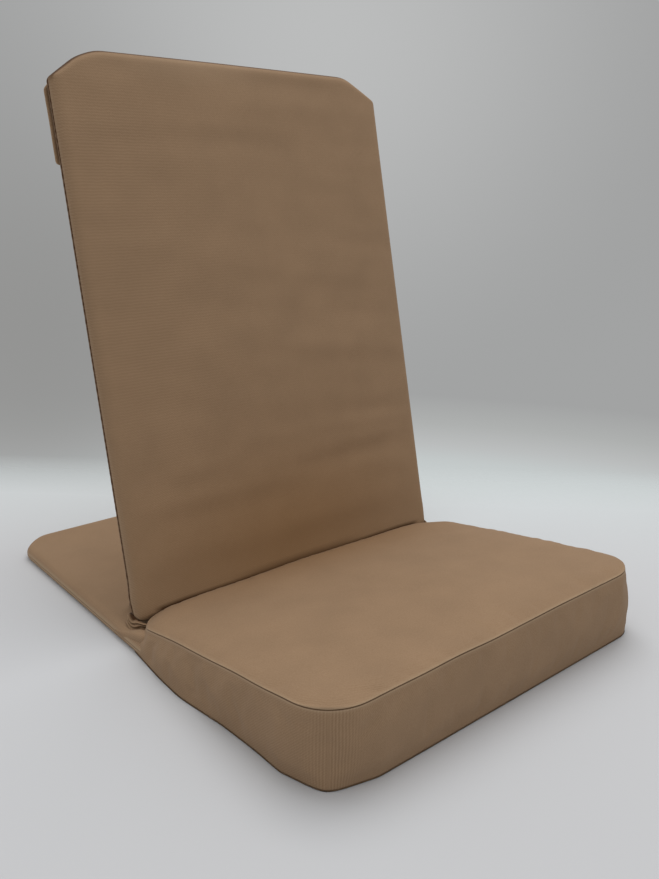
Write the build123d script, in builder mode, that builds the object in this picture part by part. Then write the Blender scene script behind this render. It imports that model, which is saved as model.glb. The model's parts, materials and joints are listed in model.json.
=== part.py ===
"""Folding floor chair: a padded back on a bent tube frame, hinged to a flat base frame with a wedge cushion.

Frame: +Z up, the sitter faces -Y, +X to the right. The origin is on the floor, under the pivot axis.
The chair is modelled open, with the back resting on its stop.
"""
from build123d import *
from math import cos, radians, sin
import os

os.makedirs("parts", exist_ok=True)

# ---- driving dimensions, in millimetres and degrees ----

# materials
tube_diameter = 16.0
tube_wall = 1.5
cloth = 1.2                  # a sewn layer of the cover
floor_cloth = 1.0            # the cloth under the whole chair
soft_gap = 0.4               # between soft pieces that move past each other
inside_gap = 0.3             # between a frame tube and the foam or cloth round it
spare = 20.0                 # how far a cutting form reaches past what it cuts

# back panel, measured from the pivot axis along the back
back_step = 18.0             # how far its side stands inside the base's side
back_top = 646.0
back_bottom = 30.0
back_recline = 14.0          # from the vertical, when the back is on its stop
back_corner_x = 53.0         # the clipped top corners
back_corner_s = 33.0
back_corner_round = 18.0
back_low_round = 20.0        # the rounded lower corners of the cover
back_front_foam = 5.8        # foam in front of the tube, at the middle
back_crown = 2.5             # how much the front bulges across its width
back_front_round = 11.0
foam_step = 3.0              # how far inside the tube's centre line the foam ends
foam_end = 2.0               # from the foam to the cover's lower end
back_tube_bend = 36.0

# base panel and its tube loop
base_width = 536.0
base_rear = 323.5
base_corner_x = 39.0         # the clipped rear corners
base_corner_y = 36.0
base_corner_round = 20.0
base_tube_bend = 32.0
loop_front = 184.0           # how far the loop runs on under the cushion
cross_tube_y = 36.0

# cushion
seat_front = 378.0
seat_top_step = 5.0          # the top seam, inside the base's side
seat_rear_over = 1.0         # on the floor at the rear, beyond the base's side
seat_bulge_over = 5.0        # on the floor where the cover stands out most
seat_bulge_y = 140.0
seat_front_step = 6.0        # on the floor at the front, inside the base's side
seat_corner = 60.0
seat_side_bulge = 1.0        # how far the boxing stands out between its seams
seat_front_bulge = 5.0
seat_bulge_height = 48.0
seat_centre_heights = (41.2, 74.4, 96.5)     # rear, middle and front, along the middle
seat_side_heights = (33.0, 66.0, 94.0)       # the same at the top seam
fold_slope = 12.5            # slope of the folded back above the cushion

# hinge
rivet_diameter = 8.0
rivet_gap = 0.05             # running clearance round the rivet
bush_diameter = 12.0
rivet_head = 14.0
outer_head_height = 1.1
inner_head_height = 2.0
bracket_thickness = 3.0
bracket_gap = 0.3            # between the bracket and the leg
bracket_foot = 14.0
belly_gap = 1.3              # between the bracket's belly and the front cover
neck_gap = 3.0               # from the folded back's lower end to the bracket's neck
slot_gap = 1.0               # round the bracket and its rivet
pocket_gap = 3.5             # from the rivet's head to the foam
horn_round = 3.0
stop_gap = 0.05              # between the stop and the tube that rests on it
stop_height = 35.0           # from the pivot to the tube that rests on the stop
stop_width = 13.0

# flap on the rear of the back
flap_depth = 129.0
flap_cloth = 1.5
flap_inset = 1.0
flap_hinge_gap = 0.9
hem_height = 6.0
hem_below_top = 9.5
strip_height = 25.0
strip_width = 450.0
strip_margin = 4.0
strip_thickness = 1.0
strip_gap = 0.2

# ---- sizes that follow ----
tube_radius = tube_diameter / 2
tube_bore = tube_radius - tube_wall
channel_radius = tube_radius + inside_gap
skin_radius = tube_radius + cloth
base_half = base_width / 2
back_half = base_half - back_step
seat_top_half = base_half - seat_top_step
seat_rear_half = base_half + seat_rear_over
seat_bulge_half = base_half + seat_bulge_over
seat_front_half = base_half - seat_front_step
seat_low_front = seat_front + seat_front_bulge / 2
tilt = radians(back_recline)
face_offset = tube_radius + back_front_foam + cloth
fold_angle = 180 - fold_slope - (90 - back_recline)

# The pivot stands as far behind the open back's face as it stands over the folded back's face,
# and both faces pass just clear of the cushion's upper rear edge.
half_fold = radians(fold_angle / 2)
seat_offset = face_offset + soft_gap
pivot_reach = seat_offset / cos(half_fold)
pivot_direction = half_fold - tilt
pivot_height = seat_centre_heights[0] + pivot_reach * sin(pivot_direction)
seat_rear = pivot_reach * cos(pivot_direction)

tube_height = floor_cloth + tube_radius
base_top = floor_cloth + tube_diameter + cloth
base_tube_x = base_half - skin_radius
base_tube_rear = base_rear - skin_radius
leg_x = back_half - skin_radius
leg_inner = leg_x - tube_radius
leg_outer = leg_x + tube_radius
back_tube_top = back_top - skin_radius
bracket_x = leg_inner - bracket_gap - bracket_thickness
slot_x = bracket_x - slot_gap
pocket_x = bracket_x - inner_head_height - slot_gap
eye_radius = tube_radius
stop_front = tube_radius + stop_gap
stop_top = stop_height + tube_radius
wide = 2 * back_top          # larger than the chair, for cutting tools

# ---- planes ----
front_normal = Vector(0, -cos(tilt), sin(tilt))
up_the_back = Vector(0, sin(tilt), cos(tilt))
pivot = Vector(0, 0, pivot_height)
back_plane = Plane(origin=pivot, x_dir=(1, 0, 0), z_dir=front_normal)


def across_back(s):
    """A plane square to the back, at a distance s from the pivot: x across, y towards the rear."""
    return Plane(origin=pivot + up_the_back * s, x_dir=(1, 0, 0), z_dir=up_the_back)


def side_of_back(x):
    """A plane along the back's side view: x towards the rear, y up the back."""
    return Plane(origin=pivot + Vector(x, 0, 0), x_dir=(0, cos(tilt), -sin(tilt)), z_dir=(1, 0, 0))


def in_side_view(y, z):
    """Where a point of the world's side view lies in side_of_back."""
    behind = y
    above = z - pivot_height
    return (behind * cos(tilt) - above * sin(tilt), behind * sin(tilt) + above * cos(tilt))


# ---- forms that several pieces share ----
def tube_along(points, bend, outer, inner=0.0):
    """A round bar or tube along straight runs with tangent bends."""
    with BuildPart() as run:
        with BuildLine() as path:
            FilletPolyline(*points, radius=bend)
        with BuildSketch(Plane(origin=path.line @ 0, z_dir=path.line % 0)):
            Circle(outer)
            if inner:
                Circle(inner, mode=Mode.SUBTRACT)
        sweep(path=path.line)
    return run.part


def rod_across(low_x, high_x, y, z, outer, inner=0.0):
    """A round bar or tube along X."""
    with BuildPart() as rod:
        with BuildSketch(Plane(origin=(low_x, y, z), x_dir=(0, 1, 0), z_dir=(1, 0, 0))):
            Circle(outer)
            if inner:
                Circle(inner, mode=Mode.SUBTRACT)
        extrude(amount=high_x - low_x)
    return rod.part


def both_sides(right):
    """A piece and its mirror image."""
    return right + mirror(right, Plane.YZ)


def base_loop(outer, inner=0.0):
    """The base's closed loop, as two mirrored halves."""
    rear = base_tube_rear
    front = -loop_front
    points = [
        (0, rear, tube_height),
        (base_tube_x - base_corner_x, rear, tube_height),
        (base_tube_x, rear - base_corner_y, tube_height),
        (base_tube_x, front + base_corner_y, tube_height),
        (base_tube_x - base_corner_x, front, tube_height),
        (0, front, tube_height),
    ]
    return both_sides(tube_along(points, base_tube_bend, outer, inner))


def back_loop(outer, inner=0.0):
    """The back's inverted U, as two mirrored halves, down to just below the pivot."""
    local = [
        (0, back_tube_top),
        (leg_x - back_corner_x, back_tube_top),
        (leg_x, back_tube_top - back_corner_s),
        (leg_x, -outer),
    ]
    points = [back_plane.from_local_coords((x, s, 0)) for x, s in local]
    return both_sides(tube_along(points, back_tube_bend, outer, inner))


def clipped_outline(half, low, high, corner_x, corner_y):
    """A panel's outline with its two far corners clipped."""
    Polyline(
        (-half, low), (half, low), (half, high - corner_y), (half - corner_x, high),
        (corner_x - half, high), (-half, high - corner_y), close=True,
    )


def back_pad(inset, low, low_round=0.0):
    """The covered back, taken in by inset: crowned across, rounded at its edges, corners clipped."""
    half = back_half - inset
    front = inset - face_offset
    rear = skin_radius - inset
    high = back_top - inset
    front_round = back_front_round - inset
    with BuildPart() as pad:
        with BuildSketch(across_back(low)) as section:
            with BuildLine():
                Polyline((-half, front + back_crown), (-half, rear), (half, rear), (half, front + back_crown))
                ThreePointArc((half, front + back_crown), (0, front), (-half, front + back_crown))
            make_face()
            fillet(section.vertices().sort_by(Axis.Y)[:2], radius=front_round)
            fillet(section.vertices().sort_by(Axis.Y)[-2:], radius=rear)
        extrude(amount=high - low)
        with BuildSketch(side_of_back(0)) as profile:
            with Locations(((front + rear) / 2, (low + high) / 2)):
                Rectangle(rear - front, high - low)
            fillet(profile.vertices().group_by(Axis.Y)[-1], radius=rear)
        extrude(amount=half, both=True, mode=Mode.INTERSECT)
        with BuildSketch(back_plane) as outline:
            with BuildLine():
                clipped_outline(half, low, high, back_corner_x, back_corner_s)
            make_face()
            fillet(outline.vertices().sort_by(Axis.Y)[2:], radius=back_corner_round)
            if low_round:
                fillet(outline.vertices().group_by(Axis.Y)[0], radius=low_round)
        extrude(amount=face_offset, both=True, mode=Mode.INTERSECT)
    return pad.part


def half_space_behind(offset):
    """Everything behind a plane that lies in front of the pivot by offset, parallel to the back."""
    with BuildPart() as space:
        with BuildSketch(side_of_back(0)):
            with Locations((wide - offset, 0)):
                Rectangle(2 * wide, 2 * wide)
        extrude(amount=wide, both=True)
    return space.part


def base_sleeve(inset, low):
    """The covered base behind the cushion, taken in by inset, with rounded upper edges."""
    front = -2 * seat_rear
    with BuildPart() as sleeve:
        with BuildSketch(Plane.XY.offset(low)) as outline:
            with BuildLine():
                clipped_outline(base_half - inset, front, base_rear - inset, base_corner_x, base_corner_y)
            make_face()
            fillet(outline.vertices().sort_by(Axis.Y)[2:], radius=base_corner_round)
        extrude(amount=base_top - inset - low)
        upper = sleeve.edges().group_by(Axis.Z)[-1].sort_by(Axis.Y)[1:]
        fillet(upper, radius=skin_radius - inset)
    return sleeve.part


def seat_outline(z, rear_half, bulge_half, front_half, front, corner):
    """The cushion's outline at one height."""
    with BuildSketch(Plane.XY.offset(z)) as outline:
        with BuildLine():
            Polyline((-rear_half, 0), (rear_half, 0))
            ThreePointArc((rear_half, 0), (bulge_half, -seat_bulge_y), (front_half, -front))
            Polyline((front_half, -front), (-front_half, -front))
            ThreePointArc((-front_half, -front), (-bulge_half, -seat_bulge_y), (-rear_half, 0))
        make_face()
        fillet(outline.vertices().sort_by(Axis.Y)[:2], radius=corner)
    return outline.sketch


def seat_block(inset):
    """The cushion without its crown, taken in by inset: sides that bulge, and a rear parallel to the back."""
    top_half = seat_top_half - inset
    corner = seat_corner - inset
    middle = (seat_rear_half + seat_top_half) / 2 + seat_side_bulge - inset
    middle_bulge = (seat_bulge_half + seat_top_half) / 2 + seat_side_bulge - inset
    low_outline = seat_outline(
        floor_cloth, seat_rear_half - inset, seat_bulge_half - inset, seat_front_half - inset,
        seat_low_front - inset, corner
    )
    middle_outline = seat_outline(
        seat_bulge_height, middle, middle_bulge, top_half, seat_front + seat_front_bulge - inset, corner
    )
    high_outline = seat_outline(
        seat_centre_heights[2] + spare, top_half, top_half + seat_side_bulge, top_half,
        seat_front - inset, corner
    )
    with BuildPart() as block:
        loft([low_outline, middle_outline, high_outline])
        add(half_space_behind(seat_offset + inset), mode=Mode.SUBTRACT)
    return block.part


def height_at(y, heights):
    """The parabola through the heights at the cushion's rear, middle and front."""
    along = (-y - seat_rear) / (seat_front - seat_rear)
    rear, middle, front = heights
    sag = 4 * (middle - (rear + front) / 2)
    return rear + (front - rear) * along + sag * along * (1 - along)


def seat_crown(drop):
    """Everything under the cushion's crowned top, lowered by drop."""
    stations = 6
    reach = seat_top_half + spare
    start = seat_front + spare
    with BuildPart() as crown:
        for station in range(stations):
            y = spare - (start + spare) * station / (stations - 1)
            centre = height_at(y, seat_centre_heights)
            side = centre - (centre - height_at(y, seat_side_heights)) * (reach / seat_top_half) ** 2
            with BuildSketch(Plane.XZ.offset(-y)):
                with BuildLine():
                    Polyline((reach, side - drop), (reach, -spare), (-reach, -spare), (-reach, side - drop))
                    ThreePointArc((-reach, side - drop), (0, centre - drop), (reach, side - drop))
                make_face()
        loft()
    return crown.part


base_channel = base_loop(channel_radius)
back_channel = back_loop(channel_radius)
pad_outside = back_pad(0, -back_bottom, back_low_round)
pad_inside = back_pad(cloth, -back_bottom - spare)
seat_under_panel = seat_crown(cloth)
cross_tube_space = rod_across(-wide, wide, cross_tube_y, tube_height, tube_radius)

# ---- base: frame ----
with BuildPart() as base_frame:
    add(base_loop(tube_radius, tube_bore))
base_frame.part.label = "base_frame"
export_step(base_frame.part, "parts/base_frame.step")

with BuildPart() as hinge_cross_tube:
    add(rod_across(-base_tube_x, base_tube_x, cross_tube_y, tube_height, tube_radius, tube_bore))
    add(base_loop(tube_radius), mode=Mode.SUBTRACT)
hinge_cross_tube.part.label = "hinge_cross_tube"
export_step(hinge_cross_tube.part, "parts/hinge_cross_tube.step")

# Goose-neck brackets: an eye at the pivot, a horn that stops the back, and a foot on the cross tube.
# They leave the back through slots in its rear cover, so its face stays whole.
foot_low = tube_height + tube_radius / 2
belly = face_offset - back_crown - cloth - belly_gap
bracket_outline = [
    (0, eye_radius),
    (stop_front, eye_radius),
    (stop_front, stop_top),
    (stop_front + stop_width, stop_top),
    (stop_front + stop_width + eye_radius, eye_radius),
    in_side_view(cross_tube_y + bracket_foot / 2, base_top + eye_radius),
    in_side_view(cross_tube_y + bracket_foot / 2, foot_low),
    in_side_view(cross_tube_y - bracket_foot / 2, foot_low),
    (back_bottom + neck_gap, -belly),
    (0, -eye_radius),
]
with BuildPart() as right_bracket:
    with BuildSketch(side_of_back(bracket_x)) as plate:
        with BuildLine():
            Polyline(*bracket_outline, close=True)
        make_face()
        fillet(plate.vertices().sort_by(Axis.Y)[-2:], radius=horn_round)
        Circle(eye_radius)
        Circle(rivet_diameter / 2, mode=Mode.SUBTRACT)
    extrude(amount=bracket_thickness)
    add(cross_tube_space, mode=Mode.SUBTRACT)
right_bracket.part.label = "right_bracket"
export_step(right_bracket.part, "parts/right_bracket.step")

with BuildPart() as left_bracket:
    add(mirror(right_bracket.part, Plane.YZ))
left_bracket.part.label = "left_bracket"
export_step(left_bracket.part, "parts/left_bracket.step")

rivet_shank = rod_across(bracket_x, leg_outer, 0, pivot_height, rivet_diameter / 2)
rivet_inner_head = rod_across(bracket_x - inner_head_height, bracket_x, 0, pivot_height, rivet_head / 2)
rivet_outer_head = rod_across(leg_outer, leg_outer + outer_head_height, 0, pivot_height, rivet_head / 2)
with BuildPart() as pivot_rivets:
    add(both_sides(rivet_inner_head + rivet_shank + rivet_outer_head))
pivot_rivets.part.label = "pivot_rivets"
export_step(pivot_rivets.part, "parts/pivot_rivets.step")

# ---- base: covers and cushion ----
with BuildPart() as base_top_cover:
    add(base_sleeve(0, floor_cloth))
    add(base_sleeve(cloth, 0), mode=Mode.SUBTRACT)
    with BuildSketch(side_of_back(0)):
        with Locations((-wide - seat_offset, 0)):
            Rectangle(2 * wide, 2 * wide)
    extrude(amount=wide, both=True, mode=Mode.SUBTRACT)
    with BuildSketch(Plane.XY.offset(tube_height)):
        for side in (-1, 1):
            with Locations((side * (bracket_x + bracket_thickness / 2), cross_tube_y)):
                Rectangle(bracket_thickness + 2 * inside_gap, bracket_foot + 2 * inside_gap)
    extrude(amount=tube_diameter, mode=Mode.SUBTRACT)
base_top_cover.part.label = "base_top_cover"
export_step(base_top_cover.part, "parts/base_top_cover.step")

with BuildPart() as bottom_cover:
    with BuildSketch() as outline:
        with BuildLine():
            clipped_outline(base_half, -2 * seat_rear, base_rear, base_corner_x, base_corner_y)
        make_face()
        fillet(outline.vertices().sort_by(Axis.Y)[2:], radius=base_corner_round)
    extrude(amount=floor_cloth)
    add(seat_outline(0, seat_rear_half, seat_bulge_half, seat_front_half, seat_low_front, seat_corner))
    extrude(amount=floor_cloth)
bottom_cover.part.label = "bottom_cover"
export_step(bottom_cover.part, "parts/bottom_cover.step")

with BuildPart() as seat_foam:
    add(seat_block(cloth))
    add(seat_under_panel, mode=Mode.INTERSECT)
    add(base_channel, mode=Mode.SUBTRACT)
seat_foam.part.label = "seat_foam"
export_step(seat_foam.part, "parts/seat_foam.step")

with BuildPart() as seat_boxing:
    add(seat_block(0))
    add(seat_under_panel, mode=Mode.INTERSECT)
    add(seat_block(cloth), mode=Mode.SUBTRACT)
    add(base_channel, mode=Mode.SUBTRACT)
seat_boxing.part.label = "seat_boxing"
export_step(seat_boxing.part, "parts/seat_boxing.step")

with BuildPart() as seat_top_panel:
    add(seat_block(0))
    add(seat_crown(0), mode=Mode.INTERSECT)
    add(seat_under_panel, mode=Mode.SUBTRACT)
seat_top_panel.part.label = "seat_top_panel"
export_step(seat_top_panel.part, "parts/seat_top_panel.step")

# ---- back: frame ----
back_cross = Vector(0, stop_height * sin(tilt), pivot_height + stop_height * cos(tilt))
with BuildPart() as back_frame:
    add(back_loop(tube_radius, tube_bore))
    with BuildSketch(side_of_back(0)):
        with Locations((0, -tube_radius)):
            Rectangle(2 * tube_diameter, tube_diameter)
        Circle(tube_radius, mode=Mode.SUBTRACT)
    extrude(amount=wide, both=True, mode=Mode.SUBTRACT)
    add(rod_across(-wide, wide, 0, pivot_height, bush_diameter / 2), mode=Mode.SUBTRACT)
back_frame.part.label = "back_frame"
export_step(back_frame.part, "parts/back_frame.step")

with BuildPart() as back_cross_tube:
    add(rod_across(-leg_x, leg_x, back_cross.Y, back_cross.Z, tube_radius, tube_bore))
    add(back_loop(tube_radius), mode=Mode.SUBTRACT)
back_cross_tube.part.label = "back_cross_tube"
export_step(back_cross_tube.part, "parts/back_cross_tube.step")

with BuildPart() as pivot_bushes:
    add(both_sides(rod_across(
        leg_inner, leg_outer, 0, pivot_height, bush_diameter / 2, rivet_diameter / 2 + rivet_gap
    )))
pivot_bushes.part.label = "pivot_bushes"
export_step(pivot_bushes.part, "parts/pivot_bushes.step")

# ---- back: foam and covers ----
pocket_width = back_half - pocket_x
pocket_length = back_bottom + rivet_head / 2 + pocket_gap
with BuildPart() as back_foam:
    add(pad_inside)
    with BuildSketch(back_plane) as outline:
        with BuildLine():
            clipped_outline(
                leg_x - foam_step, foam_end - back_bottom, back_tube_top - foam_step,
                back_corner_x, back_corner_s,
            )
        make_face()
        fillet(outline.vertices().sort_by(Axis.Y)[2:], radius=back_tube_bend)
    extrude(amount=face_offset, both=True, mode=Mode.INTERSECT)
    add(back_channel, mode=Mode.SUBTRACT)
    add(rod_across(-wide, wide, back_cross.Y, back_cross.Z, channel_radius), mode=Mode.SUBTRACT)
    with BuildSketch(back_plane):
        for side in (-1, 1):
            with Locations((side * (pocket_x + pocket_width / 2), pocket_length / 2 - back_bottom)):
                Rectangle(pocket_width, pocket_length)
    extrude(amount=face_offset, both=True, mode=Mode.SUBTRACT)
back_foam.part.label = "back_foam"
export_step(back_foam.part, "parts/back_foam.step")

rivet_hole = rod_across(-wide, wide, 0, pivot_height, rivet_head / 2 + soft_gap)
with BuildPart() as back_front_cover:
    add(pad_outside)
    add(pad_inside, mode=Mode.SUBTRACT)
    add(half_space_behind(0), mode=Mode.SUBTRACT)
    add(rivet_hole, mode=Mode.SUBTRACT)
back_front_cover.part.label = "back_front_cover"
export_step(back_front_cover.part, "parts/back_front_cover.step")

slot_width = bracket_thickness + 2 * slot_gap
slot_length = back_bottom + stop_top + slot_gap
with BuildPart() as back_rear_cover:
    add(pad_outside)
    add(pad_inside, mode=Mode.SUBTRACT)
    add(half_space_behind(0), mode=Mode.INTERSECT)
    add(rivet_hole, mode=Mode.SUBTRACT)
    with BuildSketch(back_plane):
        for side in (-1, 1):
            with Locations((side * (slot_x + slot_width / 2), slot_length / 2 - back_bottom)):
                Rectangle(slot_width, slot_length)
    extrude(amount=-2 * skin_radius, mode=Mode.SUBTRACT)
back_rear_cover.part.label = "back_rear_cover"
export_step(back_rear_cover.part, "parts/back_rear_cover.step")

# ---- flap on the back's rear side ----
strip_inner = -skin_radius - strip_thickness
hook_outer = strip_inner - strip_gap - strip_thickness
flap_outer = hook_outer - flap_cloth
hem_top = back_top - hem_below_top
hem_low = hem_top - hem_height
flap_top = hem_low - flap_hinge_gap
flap_low = back_top - flap_depth
strip_s = flap_low + strip_margin + strip_height / 2
clip_low = back_top - back_corner_s


def half_width_at(s):
    """Half the flap's width at a height beside the clipped corner."""
    return back_half - flap_inset - max(0, s - clip_low) * back_corner_x / back_corner_s


with BuildPart() as flap_hem:
    with BuildSketch(back_plane.offset(-skin_radius)):
        with Locations((0, (hem_low + hem_top) / 2)):
            Rectangle(2 * half_width_at(back_top), hem_height)
    extrude(amount=flap_outer + skin_radius)
flap_hem.part.label = "flap_hem"
export_step(flap_hem.part, "parts/flap_hem.step")

with BuildPart() as loop_strip:
    with BuildSketch(back_plane.offset(-skin_radius)):
        with Locations((0, strip_s)):
            Rectangle(strip_width, strip_height)
    extrude(amount=-strip_thickness)
loop_strip.part.label = "loop_strip"
export_step(loop_strip.part, "parts/loop_strip.step")

with BuildPart() as hook_strip:
    with BuildSketch(back_plane.offset(hook_outer)):
        with Locations((0, strip_s)):
            Rectangle(strip_width, strip_height)
    extrude(amount=strip_thickness)
hook_strip.part.label = "hook_strip"
export_step(hook_strip.part, "parts/hook_strip.step")

with BuildPart() as top_flap:
    with BuildSketch(back_plane.offset(flap_outer)):
        with BuildLine():
            Polyline(
                (-half_width_at(flap_low), flap_low), (half_width_at(flap_low), flap_low),
                (half_width_at(clip_low), clip_low), (half_width_at(flap_top), flap_top),
                (-half_width_at(flap_top), flap_top), (-half_width_at(clip_low), clip_low), close=True,
            )
        make_face()
    extrude(amount=flap_cloth)
top_flap.part.label = "top_flap"
export_step(top_flap.part, "parts/top_flap.step")

flap_axis = back_plane.from_local_coords((0, hem_low, flap_outer))
print(f"pivot height {pivot_height:.3f}, fold angle {fold_angle:.1f}, cushion from {seat_rear:.2f} in front")
print(f"flap axis at y {flap_axis.Y:.3f}, z {flap_axis.Z:.3f}")
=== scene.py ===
import json
import math
import bpy
import bmesh
import numpy as np
from mathutils import Matrix, Vector


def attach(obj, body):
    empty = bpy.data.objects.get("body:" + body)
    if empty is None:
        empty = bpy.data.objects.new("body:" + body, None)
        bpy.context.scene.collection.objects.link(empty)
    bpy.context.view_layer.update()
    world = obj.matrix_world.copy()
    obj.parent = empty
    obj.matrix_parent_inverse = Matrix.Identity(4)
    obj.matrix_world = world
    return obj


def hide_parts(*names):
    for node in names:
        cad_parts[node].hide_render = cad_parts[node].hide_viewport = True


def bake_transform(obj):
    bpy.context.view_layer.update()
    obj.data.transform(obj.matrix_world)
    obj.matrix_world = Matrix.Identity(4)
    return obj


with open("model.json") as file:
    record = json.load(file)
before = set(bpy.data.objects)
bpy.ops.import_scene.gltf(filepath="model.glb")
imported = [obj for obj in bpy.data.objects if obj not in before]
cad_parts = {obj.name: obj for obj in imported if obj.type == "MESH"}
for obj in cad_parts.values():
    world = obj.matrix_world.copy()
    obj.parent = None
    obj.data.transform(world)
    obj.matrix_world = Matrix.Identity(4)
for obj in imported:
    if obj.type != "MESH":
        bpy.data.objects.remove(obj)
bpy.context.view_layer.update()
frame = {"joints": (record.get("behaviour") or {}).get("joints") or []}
print("packed frame loaded")

# Shapes are worked out in millimetres in the frame of the CAD and turned to metres as each mesh is made.
mm = 0.001
pivotHeight = frame["joints"][0]["pos_m"][2] / mm
backTilt = math.radians(14.0)
frontNormal = np.array([0.0, -math.cos(backTilt), math.sin(backTilt)])


# a point of the leaning back: across, up the back from the pivot, and out of its front
def onBack(across, up, out):
    across, up, out = np.broadcast_arrays(across, up, out)
    y = up * math.sin(backTilt) - out * math.cos(backTilt)
    z = pivotHeight + up * math.cos(backTilt) + out * math.sin(backTilt)
    return np.stack([across, y, z], -1)


def flatPoints(x, y):
    return np.stack([x, y, 0 * x], -1)


# a list as an array with one value for each row of points
def perRow(values):
    return np.array(values)[:, None, None]


def unit(vectors):
    return vectors / np.linalg.norm(vectors, axis=-1, keepdims=True)


# how far along a line of points each of them lies
def reachAlong(line):
    return np.concatenate([[0], np.cumsum(np.linalg.norm(np.diff(line, axis=0), axis=1))])


# straight lines through the given points, averaged over a window of plus or minus soft, which rounds them
def easedLine(q, at, values, soft):
    shifts = np.linspace(-1, 1, 9) * soft
    weights = np.cos(np.linspace(-1, 1, 9) * 1.2)
    rows = [np.interp(q + shift, at, values) * weight for shift, weight in zip(shifts, weights)]
    return sum(rows) / weights.sum()


# 0 up to the start, then evenly up to 1 over the reach; with a reach below 0 it rises towards lower values
def ramp(q, start, reach):
    return np.clip((q - start) / reach, 0, 1)


# a value for each ring or row, from the outermost on; past the table its last value holds
def byRing(ring, table):
    return np.interp(ring, range(len(table)), table)


# a quarter of an ellipse: 0 at the edge, rising to 1 at a distance of 1
def rounded(distance):
    t = np.clip(1 - distance, 0, 1)
    return np.sqrt(1 - t * t)


# a sine or cosine raised to a power with its sign kept: below 1 it turns a circle into a fuller oval
def fuller(wave, power):
    return np.sign(wave) * np.abs(wave) ** power


# a smooth hill of height 1 with the given half widths, turned by an angle
def hill(x, y, x0, y0, wide, high, turn=0.0):
    c, s = math.cos(turn), math.sin(turn)
    a = ((x - x0) * c + (y - y0) * s) / wide
    b = ((y - y0) * c - (x - x0) * s) / high
    return np.exp(-a * a - b * b)


# a sum of hills, each given by its place, half widths and height
def hills(x, y, table):
    return sum(height * hill(x, y, *spot) for *spot, height in table)


# A band of cloth that leans down (slope above 0, so it looks darker) or up, for a soft wrinkle on the back:
# slope * h * t * exp(-a^2 - t^2), where a runs along the band and t across it.
def leaningBand(x, s, x0, s0, wide, high, turn, slope):
    c, k = math.cos(turn), math.sin(turn)
    a = ((x - x0) * c + (s - s0) * k) / wide
    t = ((s - s0) * c - (x - x0) * k) / high
    return slope * high * t * np.exp(-a * a - t * t)


# soft unevenness: a sum of seeded plane waves, each of a length within the given range
def unevenness(seed, p, shortest, longest):
    count = 14
    rng = np.random.default_rng(seed)
    directions = unit(rng.normal(size=(count, 3)))
    lengths = np.exp(rng.uniform(math.log(shortest), math.log(longest), count))
    phases = rng.uniform(0, 2 * math.pi, count)
    waves = np.sin(p @ (directions / lengths[:, None]).T * 2 * math.pi + phases)
    return waves.sum(-1) / math.sqrt(count / 2)


# a sum of unevenness, each given by its seed, height, shortest and longest wave
def uneven(table, p):
    return sum(height * unevenness(seed, p, shortest, longest) for seed, height, shortest, longest in table)


# A panel's grid. Ring k of the grid lies insets[k] inside the outline, and the rings beyond the list are
# evenly spaced. The outline is a rectangle whose corners follow (u + c v)^q + (d u + v)^q = 1 with u = dx/a,
# v = dy/b: with c and d 0, q 1 clips and q 2 rounds; with q 8 and more, the corner is two straight cuts that
# meet softly. corners holds (a, b, q) or (a, b, q, c, d) for low left, low right, high left and high right.
def panelPlan(size, insets="insets", corners="corners"):
    insets, corners = size[insets], size[corners]
    low, high = np.array([-size["half"], size["low"]]), np.array([size["half"], size["high"]])
    across, along = size["counts"]
    i, j = np.meshgrid(np.arange(across + 1), np.arange(along + 1), indexing="ij")
    ring = np.minimum.reduce([i, across - i, j, along - j])
    half, middle = (high - low) / 2, (high + low) / 2
    deepest = min(across, along) // 2
    rings = list(range(len(insets))) + [deepest]
    inset = np.interp(ring, rings, list(insets) + [min(half) * (1 - 1e-6)])
    u = 2 * (i - ring) / np.maximum(across - 2 * ring, 1) - 1
    v = 2 * (j - ring) / np.maximum(along - 2 * ring, 1) - 1
    px, py = u * (half[0] - inset), v * (half[1] - inset)
    pick = (px > 0) + 2 * (py > 0)
    a, b, q, c, d = (np.array([(*corner, 0, 0)[k] for corner in corners], float)[pick] for k in range(5))
    a, b = np.maximum(a - inset, 0.01), np.maximum(b - inset, 0.01)
    cx = np.clip(px, inset + a - half[0], half[0] - inset - a)
    cy = np.clip(py, inset + b - half[1], half[1] - inset - b)
    dx, dy = px - cx, py - cy
    u, v = np.abs(dx) / a, np.abs(dy) / b
    reach = ((u + c * v) ** q + (d * u + v) ** q) ** (1 / q)
    reach = np.where(reach > 1e-9, reach, 1)
    return middle[0] + cx + dx / reach, middle[1] + cy + dy / reach, inset, ring


# the grid's outer points, once round from the low left corner
def rim(shape):
    n, m = shape
    index = np.arange(n * m).reshape(n, m)
    return np.concatenate([index[0, :-1], index[:-1, -1], index[-1, :0:-1], index[:0:-1, 0]])


# quads between neighbouring points of a grid stored row after row
def gridFaces(rows, cols, closed=False, flip=False):
    i, j = np.meshgrid(np.arange(rows - 1), np.arange(cols if closed else cols - 1), indexing="ij")
    k = (j + 1) % cols
    quads = np.stack([i * cols + j, i * cols + k, (i + 1) * cols + k, (i + 1) * cols + j], -1).reshape(-1, 4)
    return quads[:, ::-1] if flip else quads


def pointsOf(mesh):
    co = np.zeros(len(mesh.vertices) * 3, np.float32)
    mesh.vertices.foreach_get("co", co)
    return co.reshape(-1, 3).astype(float) / mm


def markOf(mesh, key):
    values = np.zeros(len(mesh.vertices), np.float32)
    mesh.attributes[key].data.foreach_get("value", values)
    return values


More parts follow.
